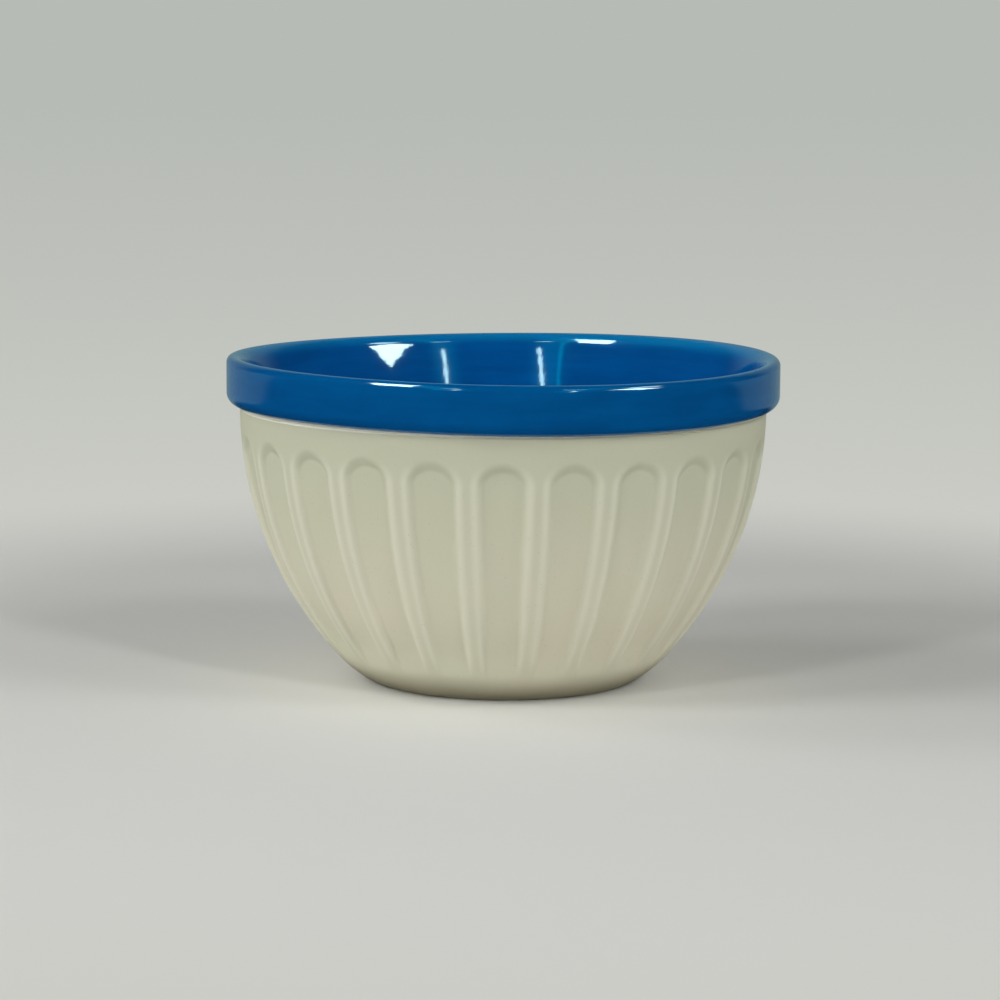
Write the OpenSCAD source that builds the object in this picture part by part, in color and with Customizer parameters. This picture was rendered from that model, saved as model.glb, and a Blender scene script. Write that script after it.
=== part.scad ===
// Prep bowl: a fluted stoneware bowl with a plain raised collar.
// One fired piece, drawn as the clay and the glaze coats that lie on it.
// Millimetres, +Z up, standing on z = 0, one flute facing -Y.

/* [Bowl] */
// Outside diameter of the collar, over the glaze
rim_d = 150; // [135:1:170]
// Height from the table to the top of the lip
bowl_h = 88; // [80:1:96]
// Thickness of the wall, both glaze coats included
wall_t = 5.2; // [4:0.1:7]
// Height of the floor inside the bowl above the table
floor_h = 6; // [5:0.5:9]
// Thickness of every glaze coat
glaze_t = 0.5; // [0.3:0.1:0.8]

/* [Collar] */
// Height of the collar
collar_h = 13.2; // [11:0.1:18]
// How far the collar stands out from the wall below it
collar_step = 3.6; // [3:0.1:5]
// Radius of the collar's lower outer corner
collar_corner_r = 3.4; // [2:0.1:3.5]
// Radius of the lip towards the outside
lip_outer_r = 1.7; // [1.2:0.1:2.5]
// Radius of the lip towards the inside
lip_inner_r = 3.6; // [2.5:0.1:5]

/* [Wall] */
// Radius of the arc that turns the wall in under the bowl
base_r = 30; // [26:0.5:34]
// Lean of the wall from the vertical where it meets the foot, in degrees
foot_lean = 64; // [60:1:68]
// Radius of the arc between the wall and the floor inside
basin_r = 24; // [18:1:30]

/* [Foot] */
// Outside diameter of the flat ring that the bowl stands on
foot_d = 70.8; // [66:0.2:76]
// Width of the flat ring, with its chamfer
foot_ring_w = 4.4; // [3:0.2:7]
// Radius of the rounded edge between the ring and the wall
heel_r = 1.6; // [1:0.1:2.5]
// Depth of the hollow under the bowl
recess_h = 1.4; // [1:0.1:2]
// Chamfer on the inner edge of the foot ring
recess_chamfer = 0.4; // [0.2:0.1:0.8]
// Bare clay between the rounded edge of the foot and the glaze on the wall, along the wall
bare_band = 0.8; // [0.5:0.1:3]

/* [Flutes] */
// Number of flutes round the wall
flute_count = 24; // [16:1:30]
// Depth of a flute below the wall
flute_depth = 1.2; // [0.6:0.1:1.4]
// Width of a flute as a share of the flute pitch
flute_width_share = 0.78; // [0.6:0.01:0.84]
// Slope from the side of a flute to its floor, as a share of half its width
flank_share = 0.32; // [0.25:0.01:0.5]
// Slope from the head of a flute to its floor, as a share of half its width
head_flank_share = 0.58; // [0.4:0.01:0.7]
// Plain wall between the collar and the top of the flutes
plain_band = 6.4; // [5:0.1:10]
// Length over which the flutes run out at the bottom
run_out = 10; // [6:1:18]

/* [Hidden] */
$fn = 180;

// How far a cutting shape reaches past what it cuts
overrun = 2;
// Steps along the long arcs inside the bowl, along the rounds of the lip and the collar, and along the
// rounded edge of the foot
arc_steps = 14;
round_steps = 10;
heel_steps = 3;
wall_r = rim_d / 2 - collar_step;
collar_z = bowl_h - collar_h;
lip_r = rim_d / 2 - lip_outer_r;
corner_r = min(collar_corner_r, collar_step);
foot_r = foot_d / 2;
recess_r = foot_r - foot_ring_w;

// Outside of the wall, as (radius, height): the base arc runs up from the rounded edge of the foot, and
// the wall arc carries on from it and reaches the collar upright. The wall arc's radius follows from
// those three conditions.
heel_c = [foot_r, heel_r];
base_c = arc_point(heel_c, heel_r - base_r, foot_lean);
in_reach = wall_r - base_c.x;
up_reach = collar_z - base_c.y;
wall_arc_r = (in_reach ^ 2 + up_reach ^ 2 - base_r ^ 2) / (2 * (in_reach - base_r));
wall_c = [wall_r - wall_arc_r, collar_z];
join_lean = atan2(up_reach, base_c.x - wall_c.x);
wall_len = wall_arc_r * join_lean * PI / 180;
outline_len = wall_len + base_r * (foot_lean - join_lean) * PI / 180;

// Inside of the bowl: the wall arc moved in by the wall, a basin arc that runs off it to the floor, and
// a straight throat that touches the wall arc and the round of the lip.
inner_arc_r = wall_arc_r - wall_t;
basin_z = floor_h + basin_r;
basin_x = wall_c.x + sqrt((inner_arc_r - basin_r) ^ 2 - (collar_z - basin_z) ^ 2);
basin_lean = atan2(collar_z - basin_z, basin_x - wall_c.x);
lip_c = [lip_r, bowl_h - lip_inner_r];
corner_c = [rim_d / 2 - corner_r, collar_z + corner_r];
lip_reach = lip_c - wall_c;
throat_lean = acos((inner_arc_r + lip_inner_r) / norm(lip_reach)) - atan2(lip_reach.y, lip_reach.x);

// Flutes
flute_pitch = 360 / flute_count;
half_flute = flute_pitch * flute_width_share / 2;
head_r = wall_r * half_flute * PI / 180;
head_s = plain_band + head_r;
run_out_s = wall_len - run_out;
// Columns of points across a flute, evenly spaced round its head, as shares of half its width
head_steps = 8;
column_shares = [for (i = [0:head_steps]) -cos(i * 180 / head_steps)];
// Contours round the head, from its edge to the foot of its slope, as shares of half a flute, and how far
// each is set down from the one outside it
contour_shares = [1, 1 - flank_share / 2, 1 - flank_share];
contour_drop_share = 0.1;
contour_drops = [for (k = [0:len(contour_shares) - 1]) head_s + k * contour_drop_share * head_r];
flute_top_s = contour_drops[len(contour_shares) - 1];
// Rows of points along the base arc, the run-out and the length of the flutes
base_rows = 2;
run_out_rows = 1;
flute_rows = 3;
columns = [for (i = [0:flute_count - 1]) for (u = column_shares) [i * flute_pitch + u * half_flute, u]];

// A point on the outside of the plain wall. s is measured down the wall from the collar, and depth is
// how far the point lies below the finished surface. Above the collar's underside the wall is upright.
function wall_point(s, depth) =
    s < 0 ? [wall_r - depth, collar_z - s] :
    s < wall_len ? arc_point(wall_c, wall_arc_r - depth, s / wall_arc_r * 180 / PI) :
    arc_point(base_c, base_r - depth, join_lean + (s - wall_len) / base_r * 180 / PI);
function arc_point(centre, radius, lean) = centre + radius * [cos(lean), -sin(lean)];

// Depth of the fluting at a share u of half a flute's width from its middle: a round head with a long
// slope at the top, a flat floor between short flanks, and a run-out at the bottom.
function ease(t) = let (c = min(max(t, 0), 1)) c * c * (3 - 2 * c);
function edge_share(s, u) = 1 - (s < head_s ? norm([u, (head_s - s) / head_r]) : abs(u));
function slope_share(s) = flank_share + (head_flank_share - flank_share) * ease((head_s - s) / head_r);
function fluting(s, u) =
    flute_depth * ease(edge_share(s, u) / slope_share(s)) * ease((wall_len - s) / run_out);

// A ring of points round the wall. The rows at the heads of the flutes bend to follow them.
function head_rise(u, contour_share) = head_r * sqrt(max(contour_share ^ 2 - u ^ 2, 0));
function wall_ring(s, depth, contour_share = 0) = [
    for (c = columns)
        let (down = s - head_rise(c[1], contour_share))
        let (p = wall_point(down, depth + fluting(down, c[1])))
        [p.x * cos(c[0]), p.x * sin(c[0]), p.y]
];
// The rows of the glazed wall, from the glaze line above the foot up to the collar
function rise(from, to, count) = [for (i = [0:count - 1]) from + (to - from) * i / count];
function wall_rings(depth) = [
    for (s = rise(outline_len - bare_band, wall_len, base_rows)) wall_ring(s, depth),
    for (s = rise(wall_len, run_out_s, run_out_rows)) wall_ring(s, depth),
    for (s = rise(run_out_s, flute_top_s, flute_rows)) wall_ring(s, depth),
    for (k = [len(contour_shares) - 1:-1:0]) wall_ring(contour_drops[k], depth, contour_shares[k]),
    wall_ring(0, depth)
];
function level_ring(r, z) = [for (c = columns) [r * cos(c[0]), r * sin(c[0]), z]];

// A skin through rings of equal size. A closed loft comes back round to its first ring; an open one
// has a flat face at each end.
module loft(rings, closed = false) {
    n = len(rings[0]);
    spans = closed ? len(rings) : len(rings) - 1;
    per_flute = len(column_shares);
    sides = [
        for (i = [0:spans - 1]) for (j = [0:n - 1])
            let (a = i * n + j, b = i * n + (j + 1) % n)
            let (c = (i + 1) % len(rings) * n + j, d = (i + 1) % len(rings) * n + (j + 1) % n)
            each j % per_flute < floor(per_flute / 2) ? [[a, c, b], [b, c, d]] : [[a, c, d], [a, d, b]]
    ];
    ends = closed ? [] : [[for (j = [0:n - 1]) j], [for (j = [n - 1:-1:0]) spans * n + j]];
    polyhedron([for (ring = rings) each ring], concat(sides, ends));
}

// An arc as points, without its last one, so that the next arc can start there
function arc(centre, radius, from, to, steps) =
    [for (lean = rise(from, to, steps)) arc_point(centre, radius, lean)];

// Half section of the inside, depth below its finished surface, from the floor to the top of the lip
function inside_line(depth) = [
    [0, floor_h - depth],
    each arc([basin_x, basin_z], basin_r + depth, 90, basin_lean, arc_steps),
    each arc(wall_c, inner_arc_r + depth, basin_lean, throat_lean, arc_steps),
    each arc(lip_c, depth - lip_inner_r, throat_lean, 90, round_steps)
];

// Half section of the collar, depth below its finished surface, from the top of the lip to the wall
function collar_line(depth) = [
    each arc([lip_r, bowl_h - lip_outer_r], lip_outer_r - depth, -90, 0, round_steps),
    [rim_d / 2 - depth, bowl_h - lip_outer_r],
    each arc(corner_c, corner_r - depth, 0, 90, round_steps),
    [corner_c.x, collar_z + depth],
    [wall_r - glaze_t, collar_z + depth]
];

// The fired clay: the collar, the fluted wall, the floor and the foot ring, with no glaze on it
module stoneware_body() {
    color("#bdb69e") difference() {
        union() {
            rotate_extrude() polygon([
                [0, bowl_h - glaze_t],
                each collar_line(glaze_t),
                [0, collar_z + glaze_t]
            ]);
            loft([
                for (p = arc(heel_c, heel_r, 90, foot_lean, heel_steps)) level_ring(p.x, p.y),
                each wall_rings(glaze_t),
                level_ring(wall_r - glaze_t, collar_z + glaze_t + overrun)
            ]);
        }
        rotate_extrude() polygon([
            each inside_line(glaze_t),
            [lip_r, bowl_h - glaze_t],
            [lip_r, bowl_h + overrun],
            [0, bowl_h + overrun]
        ]);
        translate([0, 0, -overrun]) cylinder(r = recess_r, h = recess_h + glaze_t + overrun);
        recess_edge();
    }
}

// Chamfer round the inner edge of the foot ring
module recess_edge() {
    height = recess_chamfer + overrun;
    translate([0, 0, -overrun]) cylinder(r1 = recess_r + height, r2 = recess_r, h = height);
}

// Matt cream glaze on the fluted wall, from the collar to just above the foot
module cream_glaze() {
    under = wall_rings(glaze_t);
    color("#cfceb8") loft([each wall_rings(0), for (i = [len(under) - 1:-1:0]) under[i]], closed = true);
}

// Gloss blue glaze over the floor and the inside, the lip and the collar
module blue_glaze() {
    back = [each inside_line(glaze_t), each collar_line(glaze_t)];
    color("#0a5ca6") rotate_extrude() polygon([
        each inside_line(0),
        each collar_line(0),
        for (i = [len(back) - 1:-1:0]) back[i]
    ]);
}

// Glaze in the hollow under the bowl, inside the foot ring
module base_glaze() {
    color("#cfceb8") translate([0, 0, recess_h]) cylinder(r = recess_r, h = glaze_t);
}

stoneware_body();
cream_glaze();
blue_glaze();
base_glaze();
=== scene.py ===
import math

import bpy
from bpy.props import FloatProperty, FloatVectorProperty, IntProperty, PointerProperty
from mathutils import Matrix, Vector


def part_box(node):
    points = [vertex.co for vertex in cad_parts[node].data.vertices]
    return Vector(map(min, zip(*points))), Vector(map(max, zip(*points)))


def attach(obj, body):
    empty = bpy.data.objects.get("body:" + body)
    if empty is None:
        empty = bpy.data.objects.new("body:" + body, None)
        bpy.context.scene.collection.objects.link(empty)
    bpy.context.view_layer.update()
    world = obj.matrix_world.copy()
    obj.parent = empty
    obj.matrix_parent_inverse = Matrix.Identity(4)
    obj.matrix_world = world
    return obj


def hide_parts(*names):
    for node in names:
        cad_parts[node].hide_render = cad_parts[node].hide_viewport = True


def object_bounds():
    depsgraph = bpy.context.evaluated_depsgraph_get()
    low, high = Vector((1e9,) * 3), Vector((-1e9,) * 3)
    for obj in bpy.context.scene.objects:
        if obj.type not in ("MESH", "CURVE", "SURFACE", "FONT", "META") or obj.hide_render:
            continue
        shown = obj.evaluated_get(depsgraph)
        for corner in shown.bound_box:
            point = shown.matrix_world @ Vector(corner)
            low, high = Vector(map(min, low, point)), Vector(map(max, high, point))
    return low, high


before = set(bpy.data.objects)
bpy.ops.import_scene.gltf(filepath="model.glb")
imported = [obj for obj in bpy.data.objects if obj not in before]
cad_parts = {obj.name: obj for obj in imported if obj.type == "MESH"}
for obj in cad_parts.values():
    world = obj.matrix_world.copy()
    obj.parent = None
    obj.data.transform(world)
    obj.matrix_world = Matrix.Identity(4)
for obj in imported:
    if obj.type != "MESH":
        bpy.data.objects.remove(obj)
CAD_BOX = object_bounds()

bl_info = {
    "name": "Fluted Prep Bowl",
    "version": (1, 0, 0),
    "blender": (4, 5, 0),
    "location": "3D View > Sidebar > Bowl",
    "description": "A fluted stoneware prep bowl with a raised gloss collar",
    "category": "Add Mesh",
}

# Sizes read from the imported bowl, in metres
CREAM_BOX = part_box("cream_glaze")
BLUE_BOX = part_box("blue_glaze")
BASE_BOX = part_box("base_glaze")
COAT = BASE_BOX[1].z - BASE_BOX[0].z

THIN_GLAZE_AND_SHEEN = "thin_glaze_and_sheen"
BODY = "root"


def paint(text):
    """Linear colour from a colour written the usual way, such as #cfceb8."""
    shares = [int(text[i:i + 2], 16) / 255 for i in (1, 3, 5)]
    return tuple(c / 12.92 if c <= 0.04045 else ((c + 0.055) / 1.055) ** 2.4 for c in shares)


def length(name, description, default):
    return FloatProperty(name=name, description=description, default=default, precision=5,
                         min=0.0, unit="LENGTH", subtype="DISTANCE")


def share(name, description, default):
    return FloatProperty(name=name, description=description, default=default,
                         min=0.0, max=1.0, subtype="FACTOR")


def colour(name, description, default):
    return FloatVectorProperty(name=name, description=description, default=paint(default),
                               size=3, min=0.0, max=1.0, subtype="COLOR")


class BowlSizes(bpy.types.PropertyGroup):
    """Sizes of the bowl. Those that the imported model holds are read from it."""
    rim_diameter: length("Rim diameter", "Outside diameter of the collar", CAD_BOX[1].x - CAD_BOX[0].x)
    height: length("Height", "Height from the table to the top of the lip", CAD_BOX[1].z)
    coat: length("Glaze thickness", "Thickness of every glaze coat", COAT)
    wall: length("Wall thickness", "Thickness of the wall with both coats", 0.0052)
    floor: length("Floor height", "Height of the floor inside the bowl", BLUE_BOX[0].z + COAT)
    wall_radius: length("Wall radius", "Radius of the plain wall under the collar", CREAM_BOX[1].x)
    collar_foot: length("Collar underside", "Height of the underside of the collar", CREAM_BOX[1].z)
    collar_corner: length("Collar corner", "Radius of the collar's lower corner", 0.0034)
    lip_outer: length("Lip, outside", "Radius of the lip towards the outside", 0.0017)
    lip_inner: length("Lip, inside", "Radius of the lip towards the inside", 0.0036)
    base_arc: length("Base arc", "Radius of the arc that turns the wall in over the foot", 0.030)
    basin_arc: length("Basin arc", "Radius of the arc between the wall and the floor inside", 0.024)
    foot_lean: FloatProperty(name="Foot lean", description="Lean of the wall where it meets the foot",
                             default=math.radians(64), subtype="ANGLE")
    foot_radius: length("Foot radius", "Outside radius of the flat ring that the bowl stands on", 0.0354)
    heel: length("Heel", "Radius of the rounded edge between the wall and the standing ring", 0.0016)
    recess_radius: length("Recess radius", "Radius of the hollow under the bowl", BASE_BOX[1].x)
    recess_depth: length("Recess depth", "Depth of the hollow under the bowl", BASE_BOX[0].z)
    recess_chamfer: length("Recess chamfer", "Chamfer on the inner edge of the foot ring", 0.0004)
    bare_band: length("Bare band", "Bare clay between the heel and the cream coat", 0.0008)
    # Painted shade: below this height the cream darkens towards the dark clay tone, where the bowl turns
    # under to the floor
    foot_shade_height: length("Foot fade", "Height below which the clay shows through the cream coat", 0.009)
    flare: FloatProperty(name="Flare", default=math.radians(6), subtype="ANGLE",
                         description="How much further the wall inside leans where it meets the lip")
    warp: length("Kiln warp", "How far the rim has moved up and down in firing", 0.0005)


class FluteSizes(bpy.types.PropertyGroup):
    """Sizes of the flutes in the wall."""
    count: IntProperty(name="Flutes", description="Number of flutes round the wall", default=24, min=3)
    depth: length("Depth", "Depth of a flute below the wall", 0.0012)
    width_share: share("Width", "Width of a flute as a share of the flute pitch", 0.78)
    flank_share: share("Flank",
                       "Slope from the side of a flute to its floor, as a share of half its width", 0.32)
    head_share: share("Head slope", "Slope from the head of a flute, as a share of half its width", 0.64)
    plain_band: length("Plain band", "Plain wall between the collar and the flutes", 0.0064)
    run_out: length("Run-out", "Length over which the flutes die away at the bottom", 0.010)
    # The paler flute edges are partly thin glaze and partly a painted sheen
    crest_share: share("Crest",
                       "Width of the thin glaze at the edge of a flute, as a share of half its width", 0.28)


class BowlColours(bpy.types.PropertyGroup):
    """Colours of the glazes and the clay."""
    blue: colour("Blue glaze", "Where the blue glaze lies thick", "#00528f")
    blue_inner: colour("Blue glaze, lining", "The blue glaze inside the bowl", "#00579f")
    blue_thin: colour("Blue glaze, thin", "Where the blue glaze is thin, over edges", "#0a7bb2")
    blue_deep: colour("Blue glaze, pooled", "Where the blue glaze has pooled", "#003f78")
    cream: colour("Cream glaze", "Most of the matt cream glaze", "#d8d6c0")
    # Painted shade: the cream is drawn darker high up, under the collar
    cream_painted_shade_high: colour("Cream glaze, high up", "The cream glaze under the collar", "#c1c2ab")
    cream_warm: colour("Cream glaze, warm", "Warmer clouds in the cream glaze", "#e2d8c3")
    # Also drawn as the painted sheen on the flute edges and the painted pale line under the collar
    cream_thin_and_painted_highlight: colour("Cream glaze, thin", "Where the cream glaze has run thin over the flutes", "#f0efdf")
    cream_speck: colour("Cream glaze, specks", "Faint specks in the cream glaze", "#aaa792")
    clay: colour("Fired clay", "The bare clay of the foot", "#bdb69e")
    # Also the tone of the painted shade on the cream towards the foot
    clay_dark_and_foot_shade: colour("Fired clay, dark", "Grains and rubbed places on the foot", "#8e866e")
    floor: colour("Floor", "The pale floor", "#dededa")
    room: colour("Room", "The pale room behind the bowl, as a gloss sees it", "#9fbbb9")
    backdrop: colour("Backdrop", "The pale surroundings", "#b7bbb5")
    backdrop_low: colour("Backdrop, low", "The pale surroundings where the floor ends", "#cacbc5")


def sizes():
    return bpy.context.scene.bowl_sizes


def flutes():
    return bpy.context.scene.bowl_flutes


def colours():
    return bpy.context.scene.bowl_colours


def ease(t):
    """Smooth step from 0 to 1."""
    t = min(max(t, 0.0), 1.0)
    return t * t * (3 - 2 * t)


def spread(start, end, count):
    """count values from start up to, but not including, end."""
    return [start + (end - start) * i / count for i in range(count)]


def on_arc(centre, radius, lean):
    """Point of a half section (radius, height). A lean of 0 points outwards, a quarter turn down."""
    return Vector((centre[0] + radius * math.cos(lean), centre[1] - radius * math.sin(lean)))


class Section:
    """The bowl's half section and its fluting, worked out from the sizes."""

    def __init__(self, s, f):
        self.s, self.f = s, f
        self.rim_r = s.rim_diameter / 2
        self.top = s.height
        # Outside: the base arc runs up from the foot, and the wall arc reaches the collar upright
        self.heel_c = Vector((s.foot_radius, s.heel))
        self.base_c = on_arc(self.heel_c, s.heel - s.base_arc, s.foot_lean)
        reach = s.wall_radius - self.base_c.x
        rise = s.collar_foot - self.base_c.y
        self.wall_arc = (reach ** 2 + rise ** 2 - s.base_arc ** 2) / (2 * (reach - s.base_arc))
        self.wall_c = Vector((s.wall_radius - self.wall_arc, s.collar_foot))
        self.join = math.atan2(rise, self.base_c.x - self.wall_c.x)
        self.wall_run = self.wall_arc * self.join
        self.run = self.wall_run + s.base_arc * (s.foot_lean - self.join)
        # Inside: the wall arc moved in by the wall, a basin arc to the floor, a throat up to the lip
        self.inner_arc = self.wall_arc - s.wall
        basin_z = s.floor + s.basin_arc
        drop = s.collar_foot - basin_z
        self.basin_c = Vector((self.wall_c.x + math.sqrt((self.inner_arc - s.basin_arc) ** 2 - drop ** 2),
                               basin_z))
        self.basin_lean = math.atan2(drop, self.basin_c.x - self.wall_c.x)
        self.lip_r = self.rim_r - s.lip_outer
        self.lip_in_c = Vector((self.lip_r, self.top - s.lip_inner))
        self.lip_out_c = Vector((self.lip_r, self.top - s.lip_outer))
        self.corner_c = Vector((self.rim_r - s.collar_corner, s.collar_foot + s.collar_corner))
        out = self.lip_in_c - self.wall_c
        self.throat_lean = math.acos((self.inner_arc + s.lip_inner) / out.length) - math.atan2(out.y, out.x)
        # Flutes
        self.half_flute = math.pi / f.count * f.width_share
        self.head_r = s.wall_radius * self.half_flute
        self.head_run = f.plain_band + self.head_r

    def wall(self, run, depth):
        """Point on the outside, run down the wall from the collar and depth under the finished surface."""
        if run < 0:
            return Vector((self.s.wall_radius - depth, self.s.collar_foot - run))
        if run < self.wall_run:
            return on_arc(self.wall_c, self.wall_arc - depth, run / self.wall_arc)
        lean = self.join + (run - self.wall_run) / self.s.base_arc
        return on_arc(self.base_c, self.s.base_arc - depth, lean)

    def in_flute(self, run, angle):
        """How far inside the edge of its flute a place lies, and how high up in the flute's round head."""
        pitch = 2 * math.pi / self.f.count
        across = ((angle + math.pi / 2 + pitch / 2) % pitch - pitch / 2) / self.half_flute
        up = (self.head_run - run) / self.head_r
        edge = 1 - (math.hypot(across, up) if run < self.head_run else abs(across))
        return edge, ease(up)

    def fluting(self, run, angle):
        """Depth of the fluting: round heads, flat floors between soft flanks, and a run-out."""
        edge, high = self.in_flute(run, angle)
        if edge <= 0:
            return 0.0
        flank = self.f.flank_share + (self.f.head_share - self.f.flank_share) * high
        return self.f.depth * ease(edge / flank) * ease((self.wall_run - run) / self.f.run_out)

    def crest(self, run, angle):
        """How pale the edge of a flute is drawn, from 0 to 1: partly the glaze run thin over it, partly a
        painted sheen.
        """
        edge, high = self.in_flute(run, angle)
        near = ease(1 - abs(edge) / self.f.crest_share)
        if edge < 0:
            near = max(near, RIDGE_SHARE)
        return near * (1 - high) * ease((self.wall_run - run) / self.f.run_out)

    def inside(self, depth):
        """Half section from the axis up to the top of the lip, depth under the finished surface."""
        s = self.s
        line = [Vector((r, s.floor - depth)) for r in spread(0, self.basin_c.x, FLOOR_STEPS)]
        line += [on_arc(self.basin_c, s.basin_arc + depth, a)
                 for a in spread(math.pi / 2, self.basin_lean, ARC_STEPS)]
        line += [on_arc(self.wall_c, self.inner_arc + depth, a)
                 for a in spread(self.basin_lean, self.throat_lean, ARC_STEPS)]
        low = on_arc(self.wall_c, self.inner_arc + depth, self.throat_lean)
        flared = self.throat_lean + s.flare
        high = on_arc(self.lip_in_c, depth - s.lip_inner, flared)
        inwards = Vector((low.y - high.y, high.x - low.x))
        line += [low.lerp(high, t) + inwards * s.flare * t * t * (1 - t)
                 for t in spread(0, 1, THROAT_STEPS)]
        line += [on_arc(self.lip_in_c, depth - s.lip_inner, a)
                 for a in spread(flared, math.pi / 2, ROUND_STEPS)]
        return line

    def collar(self, depth):
        """Half section from the top of the lip down to the wall, depth under the finished surface."""
        s = self.s
        face = self.rim_r - depth
        line = [on_arc(self.lip_out_c, s.lip_outer - depth, a)
                for a in spread(-math.pi / 2, 0, ROUND_STEPS)]
        line += [Vector((face, z)) for z in spread(self.lip_out_c.y, self.corner_c.y, FACE_STEPS)]
        line += [on_arc(self.corner_c, s.collar_corner - depth, a)
                 for a in spread(0, math.pi / 2, ROUND_STEPS)]
        line += [Vector((r, s.collar_foot + depth))
                 for r in (self.corner_c.x - depth / 2, s.wall_radius - s.coat)]
        return line

    def warped(self, point):
        """The point moved as the rim moved in the kiln: a saddle that fades away down the wall."""
        angle = math.atan2(point.y, point.x)
        hold = ease((point.z - self.basin_c.y) / (self.s.collar_foot - self.basin_c.y))
        lift = self.s.warp * math.sin(2 * angle + WARP_PHASE)
        return Vector((point.x, point.y, point.z + hold * lift))


# How pale the whole of a ridge is drawn, for thin glaze and painted sheen, as a share of what it is at the
# edges
RIDGE_SHARE = 0.15
# Steps along the section, and round the bowl
FLOOR_STEPS = 10
ARC_STEPS = 28
THROAT_STEPS = 24
ROUND_STEPS = 18
FACE_STEPS = 5
ROUND_BOWL = 360
PER_FLUTE = 38
# Phase of the saddle in the rim, which rises and falls twice round the bowl
WARP_PHASE = math.radians(28)
# Edges between faces that meet at more than this are shaded sharp
SHARP_FROM = math.radians(50)


def skin(name, rings, poles=(None, None), loop=False):
    """Closed mesh through rings of equal size. A pole closes an end, and a loop joins the last ring on."""
    count = len(rings[0])
    verts = [p for ring in rings for p in ring]
    faces = []
    for i in range(len(rings) if loop else len(rings) - 1):
        a, b = i * count, (i + 1) % len(rings) * count
        for j in range(count):
            k = (j + 1) % count
            faces.append((a + j, b + j, b + k, a + k))
    for pole, ring, flip in ((poles[0], 0, False), (poles[1], len(rings) - 1, True)):
        if pole is None:
            continue
        tip = len(verts)
        verts.append(pole)
        for j in range(count):
            edge = (ring * count + j, ring * count + (j + 1) % count)
            faces.append((edge[1], edge[0], tip) if flip else (edge[0], edge[1], tip))
    mesh = bpy.data.meshes.new(name)
    mesh.from_pydata([tuple(v) for v in verts], [], faces)
    mesh.validate()
    mesh.update()
    mesh.shade_smooth()
    mesh.set_sharp_from_angle(angle=SHARP_FROM)
    piece = bpy.data.objects.new(name, mesh)
    bpy.context.scene.collection.objects.link(piece)
    return piece


def revolved(line, count):
    """Rings from a half section, turned about the axis."""
    angles = [2 * math.pi * i / count for i in range(count)]
    return [[Vector((p.x * math.cos(a), p.x * math.sin(a), p.y)) for a in angles] for p in line]


def seat(piece, node, material):
    """Puts a piece on the bowl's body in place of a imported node, and gives it its finish."""
    piece.data.materials.append(material)
    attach(piece, BODY)
    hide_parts(node)


def group(name, inputs, outputs):
    """New shader node group, with its input and output nodes. Sockets are (name, type, default)."""
    tree = bpy.data.node_groups.new(name, "ShaderNodeTree")
    for label, kind, default in inputs:
        socket = tree.interface.new_socket(name=label, in_out="INPUT", socket_type="NodeSocket" + kind)
        if default is not None:
            socket.default_value = default
    for label, kind in outputs:
        tree.interface.new_socket(name=label, in_out="OUTPUT", socket_type="NodeSocket" + kind)
    return tree, tree.nodes.new("NodeGroupInput"), tree.nodes.new("NodeGroupOutput")


def node(tree, kind, **values):
    """New shader node. A value is set on the input socket of that name, or else on the node itself."""
    made = tree.nodes.new("ShaderNode" + kind)
    for key, value in values.items():
        label = key.replace("_", " ")
        if label in made.inputs:
            made.inputs[label].default_value = value
        else:
            setattr(made, key, value)
    return made


def maths(tree, operation, first, second=None, clamp=False):
    """Math node on a socket and a socket or number."""
    made = node(tree, "Math", operation=operation, use_clamp=clamp)
    for slot, value in enumerate((first, second)):
        if isinstance(value, bpy.types.NodeSocket):
            tree.links.new(value, made.inputs[slot])
        elif value is not None:
            made.inputs[slot].default_value = value
    return made.outputs[0]


def blend_colour(tree, factor, first, second):
    """Mix of two colours; each is a socket or a linear colour."""
    made = node(tree, "Mix", data_type="RGBA")
    places = (made.inputs[0], made.inputs[6], made.inputs[7])
    for place, value in zip(places, (factor, first, second)):
        if isinstance(value, bpy.types.NodeSocket):
            tree.links.new(value, place)
        elif isinstance(value, (int, float)):
            place.default_value = value
        else:
            place.default_value = (*value, 1.0)
    return made.outputs[2]


def blend_value(tree, factor, first, second):
    """Mix of two values; all three are sockets."""
    made = node(tree, "Mix", data_type="FLOAT")
    for slot, value in ((0, factor), (2, first), (3, second)):
        tree.links.new(value, made.inputs[slot])
    return made.outputs[0]


def blend_shader(tree, factor, first, second):
    """Mix of two shaders."""
    made = node(tree, "MixShader")
    for slot, value in enumerate((factor, first, second)):
        tree.links.new(value, made.inputs[slot])
    return made.outputs[0]


def slope(tree, value, low, high, ends=(0.0, 1.0), kind="SMOOTHSTEP"):
    """Soft slope from the first of the ends, where the value is low, to the second, where it is high."""
    made = node(tree, "MapRange", interpolation_type=kind)
    for slot, number in enumerate((low, high, *ends), start=1):
        made.inputs[slot].default_value = number
    tree.links.new(value, made.inputs[0])
    return made.outputs[0]


def stretch(tree, vector, amounts):
    """Vector multiplied by an amount of its own along each axis."""
    made = node(tree, "VectorMath", operation="MULTIPLY")
    made.inputs[1].default_value = amounts
    tree.links.new(vector, made.inputs[0])
    return made.outputs[0]


def scaled(tree, vector, amount):
    """Vector or colour, a socket or three numbers, times a value."""
    made = node(tree, "VectorMath", operation="SCALE")
    if isinstance(vector, tuple):
        made.inputs[0].default_value = vector
    else:
        tree.links.new(vector, made.inputs[0])
    tree.links.new(amount, made.inputs["Scale"])
    return made.outputs[0]


def ripples(tree, position, scale, detail, roughness):
    """Soft noise with a scale from a socket."""
    made = node(tree, "TexNoise", Detail=detail, Roughness=roughness)
    tree.links.new(position, made.inputs["Vector"])
    tree.links.new(scale, made.inputs["Scale"])
    return made.outputs[0]


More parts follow.
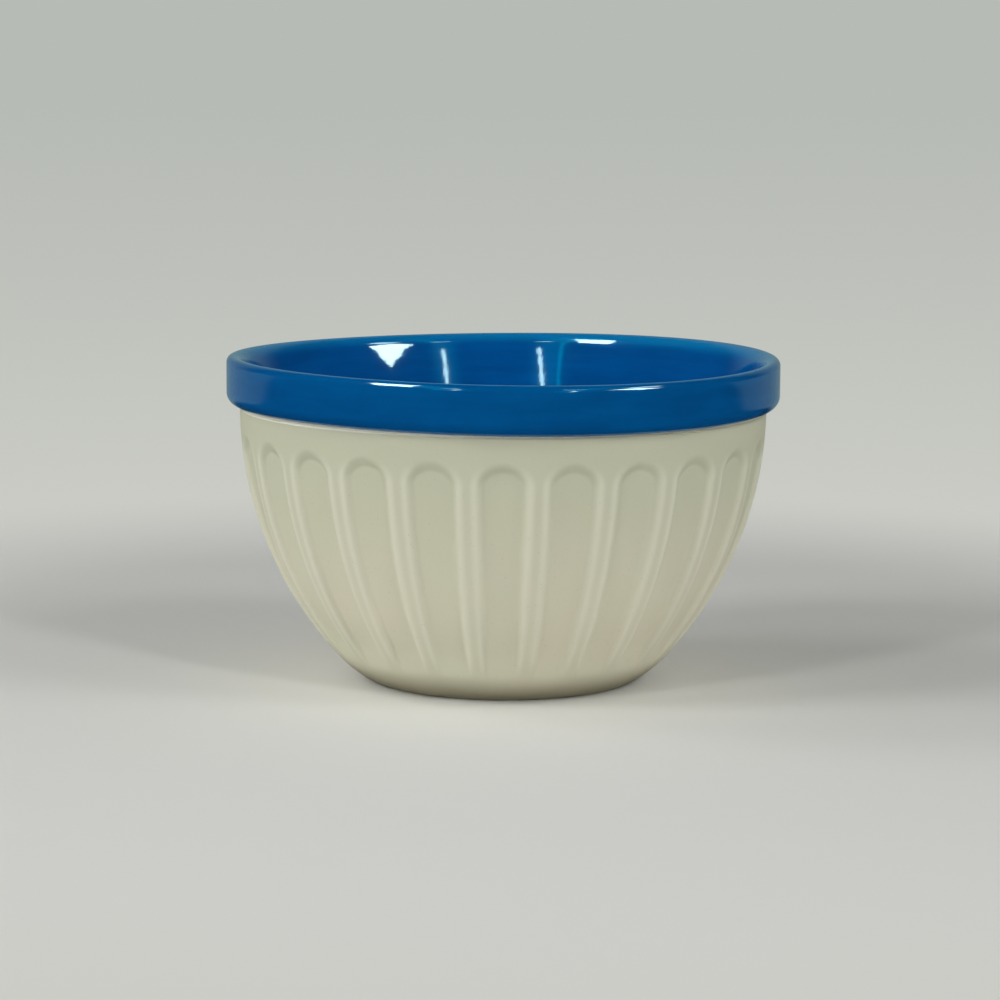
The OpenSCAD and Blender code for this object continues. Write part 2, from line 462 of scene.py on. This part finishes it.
# How the streaks are drawn out round the bowl, and between which noise values the clouds pass from 0 to 1
STREAK_STRETCH = (0.12, 0.12, 1.0)
CLOUD_FROM, CLOUD_TO = 0.36, 0.64
# A speck's soft edge and its full core, as distances in its cell
SPECK_EDGE, SPECK_CORE = 0.45, 0.15


def clouds_group():
    """Glaze clouds: slow changes of tone, and streaks that run round the bowl."""
    name = "Glaze clouds"
    if name in bpy.data.node_groups:
        return bpy.data.node_groups[name]
    tree, start, end = group(name, [
        ("Position", "Vector", None),
        ("Cloud scale", "Float", 40.0),
        ("Streak scale", "Float", 300.0),
        ("Streaks", "Float", 0.5),
    ], [("Mask", "Float")])
    position = start.outputs["Position"]
    cloud = ripples(tree, position, start.outputs["Cloud scale"], detail=3.0, roughness=0.55)
    drawn_out = stretch(tree, position, STREAK_STRETCH)
    streak = ripples(tree, drawn_out, start.outputs["Streak scale"], detail=2.0, roughness=0.6)
    mixed = blend_value(tree, start.outputs["Streaks"], cloud, streak)
    tree.links.new(slope(tree, mixed, CLOUD_FROM, CLOUD_TO), end.inputs["Mask"])
    return tree


def specks_group():
    """Specks: small grains with a size and an amount of their own."""
    name = "Fine specks"
    if name in bpy.data.node_groups:
        return bpy.data.node_groups[name]
    tree, start, end = group(name, [
        ("Position", "Vector", None),
        ("Scale", "Float", 1500.0),
        ("Amount", "Float", 0.2),
    ], [("Mask", "Float")])
    link = tree.links.new
    cells = node(tree, "TexVoronoi", feature="F1", Randomness=1.0)
    link(start.outputs["Position"], cells.inputs["Vector"])
    link(start.outputs["Scale"], cells.inputs["Scale"])
    near = slope(tree, cells.outputs["Distance"], SPECK_EDGE, SPECK_CORE)
    pick = node(tree, "SeparateColor")
    link(cells.outputs["Color"], pick.inputs[0])
    chosen = maths(tree, "LESS_THAN", pick.outputs[0], start.outputs["Amount"])
    weight = maths(tree, "MULTIPLY", chosen, pick.outputs[1])
    link(maths(tree, "MULTIPLY", weight, near), end.inputs["Mask"])
    return tree


def relief_group():
    """Surface relief: soft ripples and a finer grain, as one height."""
    name = "Surface relief"
    if name in bpy.data.node_groups:
        return bpy.data.node_groups[name]
    tree, start, end = group(name, [
        ("Position", "Vector", None),
        ("Ripple scale", "Float", 120.0),
        ("Grain scale", "Float", 1600.0),
        ("Grain share", "Float", 0.3),
    ], [("Height", "Float")])
    position = start.outputs["Position"]
    soft = ripples(tree, position, start.outputs["Ripple scale"], detail=2.0, roughness=0.5)
    fine = ripples(tree, position, start.outputs["Grain scale"], detail=3.0, roughness=0.5)
    mixed = blend_value(tree, start.outputs["Grain share"], soft, fine)
    tree.links.new(mixed, end.inputs["Height"])
    return tree


def finish(name, **shader):
    """New material: its tree, its Principled shader and the position on the bowl."""
    material = bpy.data.materials.new(name)
    material.use_nodes = True
    tree = material.node_tree
    principled = tree.nodes["Principled BSDF"]
    for key, value in shader.items():
        principled.inputs[key.replace("_", " ")].default_value = value
    position = tree.nodes.new("ShaderNodeTexCoord").outputs["Object"]
    return material, tree, principled, position


def use(tree, made, position, **values):
    """Places a node group in a material with its own values."""
    placed = tree.nodes.new("ShaderNodeGroup")
    placed.node_tree = made
    tree.links.new(position, placed.inputs["Position"])
    for key, value in values.items():
        placed.inputs[key.replace("_", " ")].default_value = value
    return placed.outputs[0]


def bump(tree, principled, height, strength, distance):
    """Relief on a surface, distance deep at full height."""
    made = node(tree, "Bump", Strength=strength, Distance=distance)
    tree.links.new(height, made.inputs["Height"])
    tree.links.new(made.outputs[0], principled.inputs["Normal"])


def height_mask(tree, position, low, high):
    """Mask that rises from 0 at one height on the bowl to 1 at another."""
    parts = node(tree, "SeparateXYZ")
    tree.links.new(position, parts.inputs[0])
    return slope(tree, parts.outputs["Z"], low, high)


def reach_mask(tree, position, near, far):
    """Mask that rises from 0 to 1 between two distances from the bowl's axis."""
    away = node(tree, "VectorMath", operation="LENGTH")
    tree.links.new(stretch(tree, position, (1.0, 1.0, 0.0)), away.inputs[0])
    return slope(tree, away.outputs["Value"], near, far)


# The blue shows through its own gloss a little
GLOSS_TINT = (0.6, 0.95, 1.0, 1.0)
# How strongly each change of tone shows, from 0 to 1; the crests are partly a painted sheen, and the change
# at the foot is painted shade
BLUE_CLOUDS, BLUE_LIP = 0.45, 0.8
CREAM_CLOUDS, CREAM_CRESTS_AND_SHEEN, CREAM_SPECKS, CREAM_FOOT_SHADE = 0.4, 0.32, 0.3, 0.72
CLAY_CLOUDS, CLAY_SPECKS = 0.35, 0.6
# Where the cream turns to its painted shade high up, under the collar, as shares of the height of the
# collar's underside
PAINTED_SHADE_FROM, PAINTED_SHADE_TO = 0.3, 0.95
# Where the painted pale line at the top of the cream starts, in coats under the collar: a painted highlight
# that also lightens the shade there
PAINTED_PALE_LINE = 1.5
# The painted shade at the foot of the cream, in the dark clay tone, is full below this share of its height
FOOT_SHADE_FULL = 0.15


def blue_finish():
    """Gloss blue glaze: deep in the bowl, with faint streaks round the collar, thin over the lip."""
    c, s = colours(), sizes()
    material, tree, principled, position = finish(
        "blue_gloss_glaze", Roughness=0.06, IOR=1.5, Specular_IOR_Level=0.5, Specular_Tint=GLOSS_TINT)
    clouds = use(tree, clouds_group(), position, Cloud_scale=45.0, Streak_scale=260.0, Streaks=0.6)
    rim = s.rim_diameter / 2
    outer = reach_mask(tree, position, rim - s.lip_inner, rim - s.lip_outer)
    tone = blend_colour(tree, outer, c.blue_inner, c.blue)
    tone = blend_colour(tree, maths(tree, "MULTIPLY", clouds, BLUE_CLOUDS), tone, c.blue_deep)
    lip = height_mask(tree, position, s.height - s.lip_inner, s.height)
    edge = reach_mask(tree, position, rim - s.lip_outer / 3, rim - s.lip_outer)
    thin = maths(tree, "MULTIPLY", maths(tree, "MULTIPLY", lip, edge), BLUE_LIP)
    tone = blend_colour(tree, thin, tone, c.blue_thin)
    tree.links.new(tone, principled.inputs["Base Color"])
    relief = use(tree, relief_group(), position, Ripple_scale=90.0, Grain_scale=700.0, Grain_share=0.12)
    bump(tree, principled, relief, strength=0.35, distance=0.0002)
    return material


def cream_finish():
    """Matt cream glaze: slightly warm clouds, faint specks and a fine dry grain, with painted shade high up
    and at the foot, a painted pale line under the collar and flute edges drawn paler, partly as a painted
    sheen.
    """
    c, s = colours(), sizes()
    material, tree, principled, position = finish(
        "cream_matt_glaze", Roughness=0.6, IOR=1.45, Specular_IOR_Level=0.12)
    clouds = use(tree, clouds_group(), position, Cloud_scale=26.0, Streak_scale=80.0, Streaks=0.1)
    tone = blend_colour(tree, maths(tree, "MULTIPLY", clouds, CREAM_CLOUDS), c.cream, c.cream_warm)
    # Painted shade: the cream turns darker towards the collar
    high = height_mask(tree, position, s.collar_foot * PAINTED_SHADE_FROM, s.collar_foot * PAINTED_SHADE_TO)
    tone = blend_colour(tree, high, tone, c.cream_painted_shade_high)
    # Painted highlight: a pale line at the top of the cream, just under the collar, which also lightens the
    # shade there
    top = height_mask(tree, position, s.collar_foot - s.coat * PAINTED_PALE_LINE, s.collar_foot - s.coat)
    tone = blend_colour(tree, top, tone, c.cream_thin_and_painted_highlight)
    # Paler flute edges: partly the glaze run thin over them, partly a painted sheen along them
    thin = node(tree, "Attribute", attribute_name=THIN_GLAZE_AND_SHEEN)
    crests = maths(tree, "MULTIPLY", thin.outputs["Fac"], CREAM_CRESTS_AND_SHEEN)
    tone = blend_colour(tree, crests, tone, c.cream_thin_and_painted_highlight)
    specks = use(tree, specks_group(), position, Scale=1500.0, Amount=0.1)
    tone = blend_colour(tree, maths(tree, "MULTIPLY", specks, CREAM_SPECKS), tone, c.cream_speck)
    # Painted shade: the cream darkens towards the foot, where the wall turns under to the floor
    foot_shade = height_mask(tree, position, s.foot_shade_height, s.foot_shade_height * FOOT_SHADE_FULL)
    tone = blend_colour(tree, maths(tree, "MULTIPLY", foot_shade, CREAM_FOOT_SHADE), tone, c.clay_dark_and_foot_shade)
    tree.links.new(tone, principled.inputs["Base Color"])
    relief = use(tree, relief_group(), position, Ripple_scale=160.0, Grain_scale=2200.0, Grain_share=0.35)
    bump(tree, principled, relief, strength=0.3, distance=0.00012)
    return material


def clay_finish():
    """Bare fired clay: sandy, dry and a little rubbed on the foot."""
    c = colours()
    material, tree, principled, position = finish(
        "bare_fired_clay", Roughness=0.85, IOR=1.45, Specular_IOR_Level=0.3)
    clouds = use(tree, clouds_group(), position, Cloud_scale=70.0, Streak_scale=500.0, Streaks=0.2)
    tone = blend_colour(tree, maths(tree, "MULTIPLY", clouds, CLAY_CLOUDS), c.clay, c.clay_dark_and_foot_shade)
    specks = use(tree, specks_group(), position, Scale=1600.0, Amount=0.35)
    tone = blend_colour(tree, maths(tree, "MULTIPLY", specks, CLAY_SPECKS), tone, c.clay_dark_and_foot_shade)
    tree.links.new(tone, principled.inputs["Base Color"])
    relief = use(tree, relief_group(), position, Ripple_scale=900.0, Grain_scale=2600.0, Grain_share=0.6)
    bump(tree, principled, relief, strength=0.7, distance=0.00025)
    return material


# Rows of the cream coat: over the plain band, the heads, the bodies and the run-outs of the flutes, the
# plain wall below them, and the back of the coat, which lies on the clay
PLAIN_ROWS = 5
HEAD_ROWS = 30
BODY_ROWS = 34
RUN_OUT_ROWS = 18
BASE_ROWS = 12
HIDDEN_ROWS = 30
# The close rows at the heads start at this share of the plain band, and end this share of a head's radius
# below it
CLOSE_FROM, CLOSE_TO = 0.8, 0.1
# Steps round a small edge
EDGE_STEPS = 6
# The coat in the hollow thickens towards its edge: over how many coats, and by what share of that
FILLET_COATS, FILLET_DROP = 1.6, 0.3


def wall_rows(section):
    """How far down the wall the rows of the coat lie, close together at the heads of the flutes."""
    f, s = section.f, section.s
    head_start = f.plain_band * CLOSE_FROM
    head_end = section.head_run + section.head_r * CLOSE_TO
    fade = section.wall_run - f.run_out
    end = section.run - s.bare_band
    rows = spread(0, head_start, PLAIN_ROWS)
    rows += spread(head_start, head_end, HEAD_ROWS)
    rows += spread(head_end, fade, BODY_ROWS)
    rows += spread(fade, section.wall_run, RUN_OUT_ROWS)
    rows += spread(section.wall_run, end, BASE_ROWS)
    return rows, end


def wall_ring(section, run, depth):
    """Ring of points round the fluted wall."""
    count = section.f.count * PER_FLUTE
    ring = []
    for i in range(count):
        angle = 2 * math.pi * i / count
        p = section.wall(run, depth + section.fluting(run, angle))
        ring.append(section.warped(Vector((p.x * math.cos(angle), p.x * math.sin(angle), p.y))))
    return ring


class BOWL_OT_cream_coat(bpy.types.Operator):
    """Matt cream coat on the fluted wall, with a rounded edge above the foot"""
    bl_idname = "bowl.cream_coat"
    bl_label = "Cream Coat"

    def execute(self, context):
        section = Section(sizes(), flutes())
        rows, end = wall_rows(section)
        coat = section.s.coat
        rings = [wall_ring(section, run, 0.0) for run in rows]
        for turn in spread(0, math.pi / 2, EDGE_STEPS):
            run = end + coat * math.sin(turn) - coat
            rings.append(wall_ring(section, run, coat * (1 - math.cos(turn))))
        rings += [wall_ring(section, run, coat) for run in spread(end, 0, HIDDEN_ROWS)]
        rings.append(wall_ring(section, 0.0, coat))
        piece = skin("cream_coat", rings, loop=True)
        # How pale each point at the flute edges is drawn: partly thin glaze, partly a painted sheen
        thin = [0.0] * len(piece.data.vertices)
        count = len(rings[0])
        for i, run in enumerate(rows):
            for j in range(count):
                thin[i * count + j] = section.crest(run, 2 * math.pi * j / count)
        piece.data.attributes.new(THIN_GLAZE_AND_SHEEN, "FLOAT", "POINT").data.foreach_set("value", thin)
        seat(piece, "cream_glaze", cream_finish())
        return {"FINISHED"}


class BOWL_OT_blue_coat(bpy.types.Operator):
    """Gloss blue coat over the lining, the lip and the collar"""
    bl_idname = "bowl.blue_coat"
    bl_label = "Blue Coat"

    def execute(self, context):
        section = Section(sizes(), flutes())
        coat = section.s.coat
        face = section.inside(0.0)[1:] + section.collar(0.0)
        back = section.inside(coat)[1:] + section.collar(coat)
        rings = revolved(face + back[::-1], ROUND_BOWL)
        rings = [[section.warped(p) for p in ring] for ring in rings]
        poles = (Vector((0, 0, section.s.floor)), Vector((0, 0, section.s.floor - coat)))
        seat(skin("blue_coat", rings, poles), "blue_glaze", blue_finish())
        return {"FINISHED"}


class BOWL_OT_clay_body(bpy.types.Operator):
    """The fired clay under the coats, with its bare foot ring"""
    bl_idname = "bowl.clay_body"
    bl_label = "Clay Body"

    def execute(self, context):
        section = Section(sizes(), flutes())
        s = section.s
        coat = s.coat
        inner = section.inside(coat)[1:] + section.collar(coat)
        count = section.f.count * PER_FLUTE
        rings = [[section.warped(p) for p in ring] for ring in revolved(inner, count)]
        end = section.run - s.bare_band
        rings += [wall_ring(section, run, coat) for run in spread(0, end, HIDDEN_ROWS)]
        rings.append(wall_ring(section, end, coat))
        soft = s.recess_chamfer / 4
        line = [on_arc(section.heel_c, s.heel, a) for a in spread(s.foot_lean, math.pi / 2, EDGE_STEPS)]
        line += [
            Vector((section.heel_c.x, 0)),
            Vector((s.recess_radius + s.recess_chamfer + soft, 0)),
            Vector((s.recess_radius + s.recess_chamfer, soft / 2)),
            Vector((s.recess_radius, s.recess_chamfer)),
            Vector((s.recess_radius, s.recess_depth + coat)),
        ]
        rings += revolved(line, count)
        poles = (Vector((0, 0, s.floor - coat)), Vector((0, 0, s.recess_depth + coat)))
        seat(skin("clay_body", rings, poles), "stoneware_body", clay_finish())
        return {"FINISHED"}


class BOWL_OT_base_coat(bpy.types.Operator):
    """Cream coat in the hollow inside the foot ring, a little thicker round its edge"""
    bl_idname = "bowl.base_coat"
    bl_label = "Base Coat"

    def execute(self, context):
        s = sizes()
        low, top = s.recess_depth, s.recess_depth + s.coat
        fillet = s.coat * FILLET_COATS
        drop = fillet * FILLET_DROP
        flat_r = s.recess_radius - fillet
        line = [Vector((r, low)) for r in spread(0, flat_r, FLOOR_STEPS)[1:]]
        line += [Vector((flat_r + fillet * math.sin(a), low - drop * (1 - math.cos(a))))
                 for a in spread(0, math.pi / 2, EDGE_STEPS)]
        line += [Vector((s.recess_radius, low - drop)), Vector((s.recess_radius, top))]
        line += [Vector((r, top)) for r in spread(s.recess_radius, 0, FLOOR_STEPS)[1:]]
        rings = revolved(line, ROUND_BOWL)
        poles = (Vector((0, 0, low)), Vector((0, 0, top)))
        material = bpy.data.materials.get("cream_matt_glaze") or cream_finish()
        seat(skin("base_coat", rings, poles), "base_glaze", material)
        return {"FINISHED"}


# Camera, fitted to the photograph: metres, degrees and the lens for a 36 mm sensor
CAMERA_AWAY = 0.950
CAMERA_HEIGHT = 0.18011
CAMERA_DOWN = math.radians(7.882)
CAMERA_TURN = math.radians(-0.042)
CAMERA_ROLL = math.radians(0.365)
SENSOR = 36.0
FOCUS_PIXELS = 3513.6
PHOTO_PIXELS = 1000

# Lamps: name, azimuth and elevation as seen from the bowl (0 is the camera's side, right is positive),
# distance, width, height, roll, power and what it reaches: the soft tones or the gloss
LAMPS = (
    ("left_key", -64, 34, 1.8, 0.50, 0.50, 0, 8.5, "soft"),
    ("right_key", 60, 40, 1.8, 0.50, 0.50, 0, 5.5, "soft"),
    ("left_fill", -34, 26, 1.8, 0.20, 0.40, 0, 6.5, "soft"),
    ("right_fill", 32, 27, 1.8, 0.20, 0.40, 0, 7.0, "soft"),
    ("left_side", -100, 40, 1.8, 0.50, 0.50, 0, 4.0, "soft"),
    ("left_strip", -18.9, 19, 1.95, 0.055, 0.55, -6, 2.0, "gloss"),
    ("right_strip", 28.5, 18.5, 1.95, 0.05, 0.50, -12, 1.7, "gloss"),
    ("left_softbox", -54.5, 45.5, 1.8, 0.46, 1.06, 24, 52.0, "gloss"),
    ("right_softbox", 58.2, 27.8, 1.77, 0.47, 0.47, 38, 24.0, "gloss"),
    ("left_glint", -22.9, 39.7, 2.08, 0.24, 0.10, 0, 1.6, "gloss"),
    ("right_glint", 35, 45.5, 2.08, 0.30, 0.10, 0, 1.4, "gloss"),
    ("side_glint", 74.7, 49.2, 0.868, 0.18, 0.12, 0, 1.5, "gloss"),
)
# Soft light from the room, stronger from its pale sides, and what a gloss sees of it: dim in front and
# pale behind, with the change between two shares of the way to the back
SKY = 0.058
SKY_SIDES = 11.0
SKY_TINT = (0.98, 1.0, 0.97)
ROOM_START, ROOM_END = 0.55, 0.85
ROOM_DIM, ROOM_PALE = 0.04, 0.6
# Soft patches in front of the bowl, as a gloss sees them: how far across, half width and strength, then
# their colour and how high they start
GLOWS = ((0.44, 0.15, 1.3), (-0.35, 0.20, 1.3), (-0.445, 0.025, 3.5))
GLOW_COLOUR = (0.0, 0.75, 1.0)
GLOW_FROM = 0.05
# Half the floor's width, and the distances between which it passes into the surroundings
FLOOR_RADIUS = 6.0
FLOOR_NEAR = 0.20
FLOOR_FAR = 0.38


class BOWL_OT_stage(bpy.types.Operator):
    """Camera, soft lamps and a plain pale floor"""
    bl_idname = "bowl.stage"
    bl_label = "Stage"

    def execute(self, context):
        add_camera()
        for lamp in LAMPS:
            add_lamp(*lamp)
        add_world()
        add_floor()
        context.scene.view_settings.view_transform = "Standard"
        return {"FINISHED"}


def add_camera():
    """The camera that the photograph was taken with, as fitted to it."""
    cp, sp = math.cos(CAMERA_DOWN), math.sin(CAMERA_DOWN)
    cy, sy = math.cos(CAMERA_TURN), math.sin(CAMERA_TURN)
    ahead = Vector((sy * cp, cy * cp, -sp))
    right = Vector((cy, -sy, 0))
    up = right.cross(ahead)
    level = Matrix((right, up, -ahead)).transposed()
    turned = level @ Matrix.Rotation(CAMERA_ROLL, 3, "Z")
    data = bpy.data.cameras.new("photo_camera")
    data.sensor_width = SENSOR
    data.lens = FOCUS_PIXELS / PHOTO_PIXELS * SENSOR
    data.clip_start, data.clip_end = 0.05, 50.0
    camera = bpy.data.objects.new("photo_camera", data)
    camera.matrix_world = turned.to_4x4()
    camera.location = (0, -CAMERA_AWAY, CAMERA_HEIGHT)
    bpy.context.scene.collection.objects.link(camera)
    bpy.context.scene.camera = camera


def add_lamp(name, azimuth, elevation, distance, width, height, roll, power, reaches):
    """Rectangular lamp aimed at the middle of the bowl."""
    a, e = math.radians(azimuth), math.radians(elevation)
    out = Vector((math.sin(a) * math.cos(e), -math.cos(a) * math.cos(e), math.sin(e)))
    aim = Vector((0, 0, sizes().height / 2))
    data = bpy.data.lights.new(name, "AREA")
    data.shape = "RECTANGLE"
    data.size, data.size_y = width, height
    data.energy = power
    lamp = bpy.data.objects.new(name, data)
    facing = out.to_track_quat("Z", "Y").to_matrix() @ Matrix.Rotation(math.radians(roll), 3, "Z")
    lamp.matrix_world = facing.to_4x4()
    lamp.location = aim + out * distance
    lamp.visible_glossy = reaches == "gloss"
    lamp.visible_diffuse = reaches == "soft"
    bpy.context.scene.collection.objects.link(lamp)


def surroundings_group():
    """What a gloss sees of the room: pale behind the bowl, and dim in front of it with soft patches."""
    tree, start, end = group("Surroundings", [
        ("Position", "Vector", None),
        ("Reach", "Float", 1.0),
        ("Room", "Color", (1, 1, 1, 1)),
    ], [("Colour", "Color")])
    parts = node(tree, "SeparateXYZ")
    tree.links.new(start.outputs["Position"], parts.inputs[0])
    back = maths(tree, "DIVIDE", parts.outputs["Y"], start.outputs["Reach"])
    pale = slope(tree, back, ROOM_START, ROOM_END, (ROOM_DIM, ROOM_PALE))
    glow = 0.0
    high = maths(tree, "GREATER_THAN", parts.outputs["Z"], GLOW_FROM)
    front = maths(tree, "MULTIPLY", high, maths(tree, "LESS_THAN", parts.outputs["Y"], 0.0))
    for middle, half, strength in GLOWS:
        away = maths(tree, "ABSOLUTE", maths(tree, "SUBTRACT", parts.outputs["X"], middle))
        patch = slope(tree, away, half, 0.0, (0.0, strength), "SMOOTHERSTEP")
        glow = maths(tree, "ADD", maths(tree, "MULTIPLY", patch, front), glow)
    both = node(tree, "VectorMath", operation="ADD")
    tree.links.new(scaled(tree, start.outputs["Room"], pale), both.inputs[0])
    tree.links.new(scaled(tree, GLOW_COLOUR, glow), both.inputs[1])
    tree.links.new(both.outputs[0], end.inputs["Colour"])
    return tree


def seen_colour(tree, position, reach, backdrop, path):
    """The backdrop's colour as the camera sees it, and the room's as a gloss sees it."""
    room = tree.nodes.new("ShaderNodeGroup")
    room.node_tree = bpy.data.node_groups.get("Surroundings") or surroundings_group()
    tree.links.new(position, room.inputs["Position"])
    room.inputs["Reach"].default_value = reach
    room.inputs["Room"].default_value = (*colours().room, 1)
    return blend_colour(tree, path.outputs["Is Glossy Ray"], backdrop, room.outputs["Colour"])


def add_world():
    """Even light from all round, and the pale surroundings where the camera or a gloss looks at them."""
    world = bpy.data.worlds.new("studio")
    world.use_nodes = True
    tree = world.node_tree
    tree.nodes.clear()
    link = tree.links.new
    path = node(tree, "LightPath")
    direction = node(tree, "TexCoord").outputs["Generated"]
    light = node(tree, "Background", Color=(*SKY_TINT, 1))
    across = node(tree, "SeparateXYZ")
    link(direction, across.inputs[0])
    sides = maths(tree, "MULTIPLY", maths(tree, "POWER", across.outputs["X"], 2.0), SKY * SKY_SIDES)
    link(maths(tree, "ADD", sides, SKY), light.inputs["Strength"])
    shown = node(tree, "Background", Strength=1.0)
    link(seen_colour(tree, direction, 1.0, colours().backdrop, path), shown.inputs["Color"])
    seen = maths(tree, "MAXIMUM", path.outputs["Is Camera Ray"], path.outputs["Is Glossy Ray"])
    seen = maths(tree, "MAXIMUM", seen, path.outputs["Is Transmission Ray"])
    out = tree.nodes.new("ShaderNodeOutputWorld")
    link(blend_shader(tree, seen, light.outputs[0], shown.outputs[0]), out.inputs["Surface"])
    bpy.context.scene.world = world


def add_floor():
    """Plain pale floor that passes into the surroundings some way behind the bowl."""
    mesh = bpy.data.meshes.new("studio_floor")
    corners = [(x * FLOOR_RADIUS, y * FLOOR_RADIUS, 0) for x, y in ((-1, -1), (1, -1), (1, 1), (-1, 1))]
    mesh.from_pydata(corners, [], [(0, 1, 2, 3)])
    floor = bpy.data.objects.new("studio_floor", mesh)
    bpy.context.scene.collection.objects.link(floor)
    c = colours()
    material, tree, principled, position = finish(
        "pale_floor", Roughness=0.9, Specular_IOR_Level=0.1, Base_Color=(*c.floor, 1))
    link = tree.links.new
    distance = node(tree, "VectorMath", operation="LENGTH")
    link(position, distance.inputs[0])
    passed = slope(tree, distance.outputs["Value"], FLOOR_NEAR, FLOOR_FAR)
    path = node(tree, "LightPath")
    near = maths(tree, "POWER", maths(tree, "ADD", distance.outputs["Value"], 1 - FLOOR_FAR), -1.0)
    end = 1 / (FLOOR_RADIUS + 1 - FLOOR_FAR)
    far = maths(tree, "DIVIDE", maths(tree, "SUBTRACT", near, end), 1 - end, clamp=True)
    behind = blend_colour(tree, far, c.backdrop, c.backdrop_low)
    glow = node(tree, "Emission", Strength=1.0)
    link(seen_colour(tree, position, FLOOR_FAR, behind, path), glow.inputs["Color"])
    shown = maths(tree, "MULTIPLY", passed, path.outputs["Is Camera Ray"])
    shown = maths(tree, "MAXIMUM", shown, path.outputs["Is Glossy Ray"])
    surface = blend_shader(tree, shown, principled.outputs[0], glow.outputs[0])
    # A camera under the floor looks through it, and light comes up to the underside where the bowl stands
    back = node(tree, "NewGeometry").outputs["Backfacing"]
    under = maths(tree, "MULTIPLY", back, path.outputs["Is Camera Ray"])
    stood_on = maths(tree, "LESS_THAN", distance.outputs["Value"], sizes().foot_radius)
    clear = node(tree, "BsdfTransparent").outputs[0]
    surface = blend_shader(tree, maths(tree, "MAXIMUM", under, stood_on), surface, clear)
    link(surface, tree.nodes["Material Output"].inputs["Surface"])
    mesh.materials.append(material)


class BOWL_PT_sidebar(bpy.types.Panel):
    """Lists the sizes, the colours and the pieces of the bowl"""
    bl_label = "Fluted Prep Bowl"
    bl_idname = "BOWL_PT_sidebar"
    bl_space_type = "VIEW_3D"
    bl_region_type = "UI"
    bl_category = "Bowl"

    def draw(self, context):
        for owner in (sizes(), flutes(), colours()):
            box = self.layout.box()
            for key in owner.__annotations__:
                box.prop(owner, key)
        for operator in OPERATORS:
            self.layout.operator(operator.bl_idname)


OPERATORS = (BOWL_OT_stage, BOWL_OT_clay_body, BOWL_OT_cream_coat, BOWL_OT_blue_coat, BOWL_OT_base_coat)
CLASSES = (BowlSizes, FluteSizes, BowlColours, *OPERATORS, BOWL_PT_sidebar)


def register():
    for cls in CLASSES:
        bpy.utils.register_class(cls)
    bpy.types.Scene.bowl_sizes = PointerProperty(type=BowlSizes)
    bpy.types.Scene.bowl_flutes = PointerProperty(type=FluteSizes)
    bpy.types.Scene.bowl_colours = PointerProperty(type=BowlColours)


def unregister():
    del bpy.types.Scene.bowl_colours
    del bpy.types.Scene.bowl_flutes
    del bpy.types.Scene.bowl_sizes
    for cls in reversed(CLASSES):
        bpy.utils.unregister_class(cls)


def main():
    register()
    bpy.ops.bowl.stage()
    bpy.ops.bowl.clay_body()
    bpy.ops.bowl.cream_coat()
    bpy.ops.bowl.blue_coat()
    bpy.ops.bowl.base_coat()


if __name__ == "__main__":
    main()
